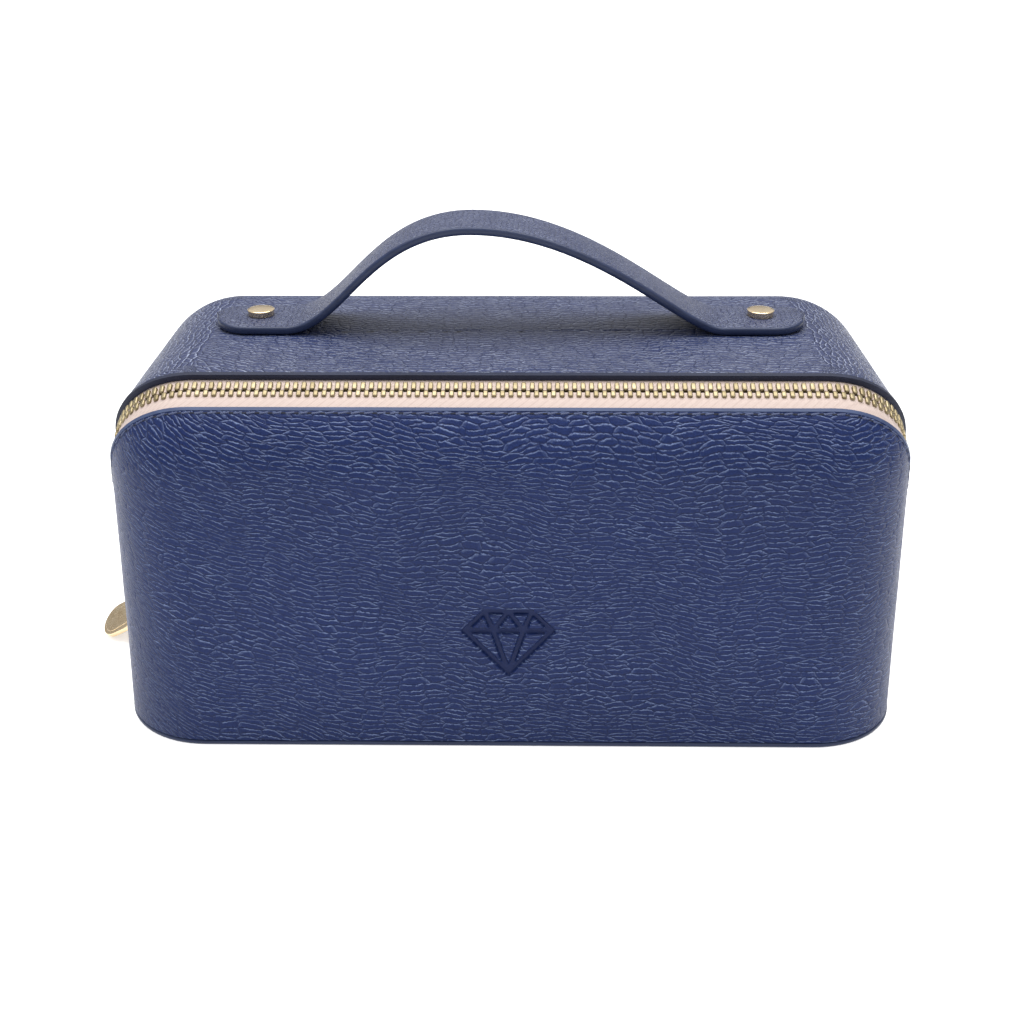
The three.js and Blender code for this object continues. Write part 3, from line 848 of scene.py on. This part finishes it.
def strap_section(half, thick):
    """Points round the strap: nearly flat faces, soft top corners, a straight painted edge."""
    h = thick / 2
    flat = 1 - EDGE_CORNER / half
    top = [(half * u, h + CROWN * (1 - u * u)) for u in np.linspace(-1, 1, TOP_POINTS) * flat]
    right = [(half - EDGE_CORNER * (1 - math.sin(a)), h - EDGE_CORNER * (1 - math.cos(a)))
             for a in np.radians([25, 50, 75, 90])]
    right += [(half, 0), (half, -h + 0.5), (half - 0.5, -h)]
    bottom = [(half * u, -h) for u in np.linspace(1, -1, 9) * flat][1:-1]
    left = [(-x, y) for x, y in reversed(right)]
    return top + right + bottom + left


def strap_points(line):
    """The strap's sections along its middle line, one after the other, in metres."""
    n = len(line)
    tip = line[-1].x
    verts = []
    for i, p in enumerate(line):
        ahead, back = line[min(i + 1, n - 1)], line[max(i - 1, 0)]
        tangent = (ahead - back).normalized()
        normal = Vector((-tangent.y, tangent.x))
        to_tip = min(p.x - line[0].x, tip - p.x)
        inset = TIP_RADIUS - math.sqrt(max(TIP_RADIUS**2 - max(TIP_RADIUS - to_tip, 0) ** 2, 0))
        half = STRAP_HALF - inset
        lift = TIP_LIFT * max(0, 1 - to_tip / TIP_RUN) ** 2
        for y, z in strap_section(half, STRAP_THICK):
            verts.append(Vector((
                p.x + normal.x * z, STRAP_Y + y, STRAP_LOW + STRAP_THICK / 2 + p.y + normal.y * z + lift,
            )) * MM)
    return verts


def lay_strap_hide(strap, line, ring):
    """Hide coordinates along the strap and round it."""
    run = [0.0]
    for a, b in zip(line, line[1:]):
        run.append(run[-1] + (b - a).length)
    girth = np.cumsum([0.0] + [2 * STRAP_HALF / (TOP_POINTS - 1)] * ring)
    layer = strap.data.uv_layers.new(name="hide")
    for face in strap.data.polygons[: (len(line) - 1) * ring]:
        i, k = divmod(face.index, ring)
        for loop, (di, dk) in zip(face.loop_indices, ((0, 0), (0, 1), (1, 1), (1, 0))):
            layer.data[loop].uv = (run[i + di], girth[k + dk])


def make_handle():
    line = strap_line()
    verts = strap_points(line)
    rings = (len(line), len(verts) // len(line))
    sides = tube_faces(*rings)
    strap = new_object("handle_strap", verts, sides + end_caps(*rings))
    lay_strap_hide(strap, line, rings[1])
    recalc(strap)
    dress(strap, leather_strap, painted_edge)
    for face in strap.data.polygons:
        on_top = face.index < len(sides) and face.index % rings[1] < TOP_POINTS - 1
        face.material_index = 0 if on_top else 1
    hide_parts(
        "handle_end_left", "handle_flex_left", "handle_bow", "handle_flex_right", "handle_end_right"
    )
    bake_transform(strap)


def lathe(name, profile, segments, centre):
    """A turned solid about a vertical line; profile is (radius, height) from foot to top."""
    verts = []
    for radius, z in profile:
        for i in range(segments):
            a = 2 * math.pi * i / segments
            verts.append(Vector((radius * math.cos(a), radius * math.sin(a), z)) * MM + centre)
    rings = (len(profile), segments)
    return recalc(new_object(name, verts, tube_faces(*rings) + end_caps(*rings)))


RIVET_SHANK = 1.7
RIVET_CLEARANCE = 0.32  # between the strap and the cap


def make_rivets():
    for side in ("left", "right"):
        low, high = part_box(f"rivet_{side}")
        centre = Vector(((low.x + high.x) / 2, (low.y + high.y) / 2, 0))
        foot = STRAP_LOW + STRAP_THICK + RIVET_CLEARANCE
        top = high.z / MM
        r = (high.x - low.x) / MM / 2
        profile = [
            (RIVET_SHANK, low.z / MM), (RIVET_SHANK, foot), (r - 0.45, foot), (r - 0.3, foot + 0.15),
            (r - 0.2, top - 0.6), (r - 0.1, top - 0.45), (r - 0.12, top - 0.3), (r - 0.3, top - 0.18),
            (r - 1.2, top - 0.08), (r - 2.6, top - 0.02), (0.4, top),
        ]
        rivet = lathe(f"rivet_cap_{side}", profile, 64, centre)
        rivet.modifiers.new("normals", "WEIGHTED_NORMAL")
        place(dress(rivet, gold), "lid", "gold_metal", [f"rivet_{side}"])


# ---- Slider and puller -----------------------------------------------------------------------


def local_frame(origin, x, y, z):
    m = Matrix((x, y, z)).transposed().to_4x4()
    m.translation = origin
    return m


def zip_axes():
    """The slider's own axes: x out of the wall, y towards the lid, z down along the zip."""
    down = -Vector(joints["slider_travel"]["axis"]).normalized()
    to_lid = Vector(joints["puller_swing"]["axis"]).normalized()
    return to_lid.cross(down).normalized(), to_lid, down


def outline_plate(name, outline, low, high, matrix, bevel, segments=3, holes=()):
    """A plate in the local YZ plane between two x values, with rounded edges, in millimetres."""
    bm = bmesh.new()

    def loop(points):
        verts = [bm.verts.new((low, y, z)) for y, z in points]
        return [bm.edges.new((verts[i], verts[(i + 1) % len(verts)])) for i in range(len(verts))]

    edges = loop(outline)
    for hole in holes:
        edges += loop(hole)
    bmesh.ops.triangle_fill(bm, edges=edges, use_beauty=True)
    grown = bmesh.ops.extrude_face_region(bm, geom=bm.faces[:])
    moved = [g for g in grown["geom"] if isinstance(g, bmesh.types.BMVert)]
    bmesh.ops.translate(bm, verts=moved, vec=(high - low, 0, 0))
    bmesh.ops.recalc_face_normals(bm, faces=bm.faces)
    bmesh.ops.dissolve_limit(bm, angle_limit=0.01, verts=bm.verts, edges=bm.edges)
    bmesh.ops.scale(bm, vec=(MM, MM, MM), verts=bm.verts)
    bmesh.ops.transform(bm, matrix=matrix, verts=bm.verts)
    mesh = bpy.data.meshes.new(name)
    bm.to_mesh(mesh)
    bm.free()
    mesh.shade_smooth()
    return rounded(linked(name, mesh), bevel, segments)


def arc(cy, cz, radius, start, end, steps):
    return [
        (cy + radius * math.cos(math.radians(a)), cz + radius * math.sin(math.radians(a)))
        for a in np.linspace(start, end, steps + 1)
    ]


def join(name, parts):
    """One object made of several, with their modifiers applied."""
    bpy.ops.object.select_all(action="DESELECT")
    for p in parts:
        freeze(p)
        p.select_set(True)
    bpy.context.view_layer.objects.active = parts[0]
    bpy.ops.object.join()
    parts[0].name = name
    return parts[0]


def make_slider():
    out, to_lid, down = zip_axes()
    pivot = Vector(joints["puller_swing"]["pos_m"])
    rise = 3.1  # from the leather to the pivot, and the bridge's outer radius
    eye = 1.9  # the bridge's inner radius
    matrix = local_frame(pivot - out * rise * MM, out, to_lid, down)
    body_outline = (
        arc(2.2, 2.5, 2.2, 0, 90, 8) + arc(-2.2, 2.5, 2.2, 90, 180, 8)
        + arc(-1.7, -2.8, 2.8, 180, 250, 8) + arc(1.7, -2.8, 2.8, 290, 360, 8)
    )
    top = outline_plate("slider_top", body_outline, -0.45, 1.2, matrix, 0.45)
    bottom = outline_plate("slider_bottom", body_outline, -4.7, -3.5, matrix, 0.35)
    nose = outline_plate("slider_nose", arc(0, -3.6, 0.28, 0, 360, 12)[:-1], -3.6, -0.4, matrix, 0.05, 1)
    turned = local_frame(pivot - out * rise * MM - to_lid * 1.2 * MM, to_lid, out, -down)
    arch = (
        [(1.0, rise)] + arc(rise, 0, rise, 90, -90, 24) + [(1.0, -rise), (1.0, -eye)]
        + arc(rise, 0, eye, -90, 90, 18) + [(1.0, eye)]
    )
    bridge = outline_plate("slider_bridge", arch, 0, 2.4, turned, 0.3)
    body = join("zip_slider_body", [top, bottom, nose, bridge])
    place(dress(body, gold), "slider", "gold_metal", ["zip_slider"])


def make_puller():
    """A flat tag with a waisted neck, a round end and a plain raised panel on each face."""
    to_lid = zip_axes()[1]
    pivot = Vector(joints["puller_swing"]["pos_m"])
    verts = [v.co - pivot for v in frame["nodes"]["zip_puller"].data.vertices]
    tip = max(verts, key=lambda v: v.length)
    along = (tip - to_lid * tip.dot(to_lid)).normalized()
    flat = along.cross(to_lid).normalized()
    matrix = local_frame(pivot, flat, to_lid, along)
    length, radius = 23.0, 6.5
    neck, corner = 4.0, 0.4
    back, flare_start, flare = -0.5, 2.5, 9.0
    side = [(neck, back), (neck, flare_start)] + [
        (neck + (radius - neck) * (3 * u * u - 2 * u**3), flare_start + flare * u)
        for u in np.linspace(0.1, 1, 9)
    ]
    outline = (
        side + arc(0, length - radius, radius, 0, 180, 40)
        + [(-y, z) for y, z in reversed(side)]
        + arc(-neck + corner, back, corner, 180, 270, 4)
        + arc(neck - corner, back, corner, 270, 360, 4)[:-1]
    )
    slot_half, slot_end = 1.6, 3.6
    slot = [(-slot_half, 0.9), (slot_half, 0.9), (slot_half, slot_end), (-slot_half, slot_end)]
    tag = outline_plate("zip_puller_tag", outline, -1.0, 1.0, matrix, 0.45, 4, [slot])
    panel = arc(0, length - radius, radius - 1.4, 0, 180, 32)
    panel += [(-radius + 2.1, 10.5), (-2.6, 7.5), (2.6, 7.5), (radius - 2.1, 10.5)]
    raised = outline_plate("puller_panel", panel, -1.14, 1.14, matrix, 0.12, 2)
    tag = join("zip_puller_tag", [tag, raised])
    place(dress(tag, gold), "puller", "gold_metal", ["zip_puller"])


# ---- Inside --------------------------------------------------------------------------------


def soften(node, name, material, body, slot, width):
    """A CAD piece's own shape with its edges rounded."""
    obj = linked(name, frame["nodes"][node].data.copy())

    def work(bm):
        bmesh.ops.remove_doubles(bm, verts=bm.verts, dist=1e-6)
        bmesh.ops.dissolve_limit(bm, angle_limit=0.02, verts=bm.verts, edges=bm.edges)
        bmesh.ops.recalc_face_normals(bm, faces=bm.faces)

    edit(obj, work)
    obj.data.shade_smooth()
    rounded(obj, width)
    return place(dress(obj, material), body, slot, [node])


ROLL_CORNER = 3.0  # rounding at a roll's ends
ROLL_SAG = 0.96  # height of a roll's top half, as a share of a round one's


def make_roll(index):
    low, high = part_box(f"ring_roll_{index}")
    radius = (high.x - low.x) / MM / 2
    x, z = (low.x + high.x) / 2 / MM, low.z / MM + radius
    length = (high.y - low.y) / MM
    turns = [math.radians(90 * i / 7) for i in range(8)]
    profile = [(radius - ROLL_CORNER * (1 - math.sin(a)), ROLL_CORNER * (1 - math.cos(a))) for a in turns]
    profile += [(r, length - at) for r, at in reversed(profile)]
    verts, around = [], 28
    for r, at in profile:
        for i in range(around):
            a = 2 * math.pi * i / around
            sag = ROLL_SAG if math.sin(a) > 0 else 1.0
            verts.append(Vector((x + r * math.cos(a), low.y / MM + at, z + r * math.sin(a) * sag)) * MM)
    rings = (len(profile), around)
    piece = recalc(new_object(f"ring_roll_{index}_pad", verts, tube_faces(*rings) + end_caps(*rings)))
    place(dress(piece, roll_velvet), "tray", "ring_roll", [f"ring_roll_{index}"])


STRIP_BEND = 2.0  # radius where the strip turns from the floor up the back wall
STRIP_THICK = 0.7


def make_hinge_strip():
    """Lining strip in along the floor and up the back wall."""
    low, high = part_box("hinge_strip")
    x0, x1 = low.x / MM, high.x / MM
    back, front = high.y / MM, low.y / MM
    foot, top = low.z / MM, high.z / MM
    bend_y, bend_z = back - STRIP_BEND, foot + STRIP_BEND
    path = [(front + (bend_y - front) * i / 6, foot) for i in range(7)]
    path += [(bend_y + STRIP_BEND * math.sin(a), bend_z - STRIP_BEND * math.cos(a))
             for a in np.radians(range(15, 91, 15))]
    path += [(back, bend_z + (top - bend_z) * i / 6) for i in range(1, 7)]
    verts, faces = [], []
    n = len(path)
    for i, (y, z) in enumerate(path):
        a, b = path[max(i - 1, 0)], path[min(i + 1, n - 1)]
        t = Vector((b[0] - a[0], b[1] - a[1])).normalized()
        for shift in (0, STRIP_THICK):
            yy, zz = y - t.y * shift, z + t.x * shift
            verts.extend(Vector((x, yy, zz)) * MM for x in (x0, x1))
    for i in range(n - 1):
        a, b = i * 4, (i + 1) * 4
        faces += [(a, a + 1, b + 1, b), (a + 2, b + 2, b + 3, a + 3)]
        faces += [(a, b, b + 2, a + 2), (a + 1, a + 3, b + 3, b + 1)]
    faces += [(0, 2, 3, 1), (4 * n - 4, 4 * n - 3, 4 * n - 1, 4 * n - 2)]
    strip = recalc(new_object("hinge_lining_strip", verts, faces))
    dress(strip, lining_suede)
    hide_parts("hinge_strip")
    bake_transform(strip)


BOARDS = (
    "front_board", "left_front_board", "right_front_board", "base_board",
    "top_board", "back_board", "left_rear_board", "right_rear_board",
)


def make_inside():
    soften("tray", "tray_shell", lining_suede, "tray", "lining", 0.6)
    for part in ("long", "rolls", "back", "front"):
        soften(f"tray_divider_{part}", f"tray_divider_{part}_wall", lining_suede, "tray", "lining", 0.5)
    for side in ("left", "right"):
        soften(f"tray_tab_{side}", f"tray_ribbon_{side}", tape_cloth, "tray", "zip_tape", 0.35)
        soften(f"rivet_washer_{side}", f"washer_{side}", gold, "lid", "gold_metal", 0.15)
    for index in range(1, 7):
        make_roll(index)
    soften("lid_pocket", "lid_pocket_pouch", lining_suede, "lid", "lining", 0.35)
    make_hinge_strip()
    for node in BOARDS:
        dress(frame["nodes"][node], greyboard)
    for side, body in SIDE_BODY.items():
        for end in ("left", "right"):
            soften(f"zip_stop_{side}_{end}", f"stop_{side}_{end}", gold, body, "gold_metal", 0.3)


# ---- Camera, light and floor -----------------------------------------------------------------


def make_camera():
    camera = bpy.data.cameras.new("camera")
    camera.lens = 47.67
    camera.sensor_width = 36
    camera.shift_x = 0.0075
    camera.shift_y = -0.0262
    camera.clip_start = 0.01
    obj = linked("camera", camera)
    pitch, yaw, roll = math.radians(24.82), math.radians(0.855), math.radians(-0.183)
    turn = Matrix.Rotation(yaw, 4, "Z") @ Matrix.Rotation(math.pi / 2 - pitch, 4, "X")
    obj.matrix_world = Matrix.Translation((0.0041, -0.4054, 0.2484)) @ turn @ Matrix.Rotation(roll, 4, "Z")
    bpy.context.scene.camera = obj


def area_light(name, where, target, size, power):
    light = bpy.data.lights.new(name, "AREA")
    light.shape = "RECTANGLE"
    light.size, light.size_y = size
    light.energy = power
    obj = linked(name, light)
    obj.location = where
    obj.rotation_euler = (Vector(target) - Vector(where)).to_track_quat("-Z", "Y").to_euler()


def make_studio():
    area_light("top_soft", (0, 0.12, 1.1), (0, 0, 0.05), (1.3, 0.8), 17)
    area_light("front_soft", (0.3, -1.4, 0.9), (0, 0, 0.06), (1.2, 0.8), 3.5)
    area_light("left_soft", (-1.2, -0.3, 0.6), (0, 0, 0.06), (0.6, 0.8), 0.8)
    make_world()
    make_floor()
    bpy.context.scene.view_settings.view_transform = "Standard"


def make_world():
    """White above, grey at the horizon, so that the leather's lower half has something dark to mirror."""
    world = bpy.data.worlds.new("studio")
    world.use_nodes = True
    tree = world.node_tree
    background = tree.nodes["Background"]
    background.inputs["Strength"].default_value = 0.8
    direction = tree.nodes.new("ShaderNodeTexCoord")
    split = tree.nodes.new("ShaderNodeSeparateXYZ")
    ramp = tree.nodes.new("ShaderNodeValToRGB")
    tree.links.new(direction.outputs["Generated"], split.inputs[0])
    tree.links.new(split.outputs["Z"], ramp.inputs["Fac"])
    tree.links.new(ramp.outputs["Color"], background.inputs["Color"])
    ramp.color_ramp.elements[0].position = 0.05
    ramp.color_ramp.elements[0].color = (0.22, 0.22, 0.23, 1)
    ramp.color_ramp.elements[1].position = 0.42
    ramp.color_ramp.elements[1].color = (1, 1, 1, 1)
    bpy.context.scene.world = world


def make_floor():
    floor = new_object("floor", [(-6, -4, 0), (6, -4, 0), (6, 6, 0), (-6, 6, 0)], [(0, 1, 2, 3)])
    s = Shader("floor_paper", 0.9, Emission_Color=(1, 1, 1, 1), Emission_Strength=0.45)
    cloud = s.noise(s.coords, 3, 2).outputs["Fac"]
    s.color(s.ramp(cloud, [(0.3, (0.88, 0.88, 0.88)), (0.7, (0.90, 0.90, 0.90))]))
    dress(floor, s.material)


make_camera()
make_studio()
make_shells()
make_tapes()
make_teeth()
make_stitches()
make_base()
make_handle()
make_rivets()
make_slider()
make_puller()
make_inside()
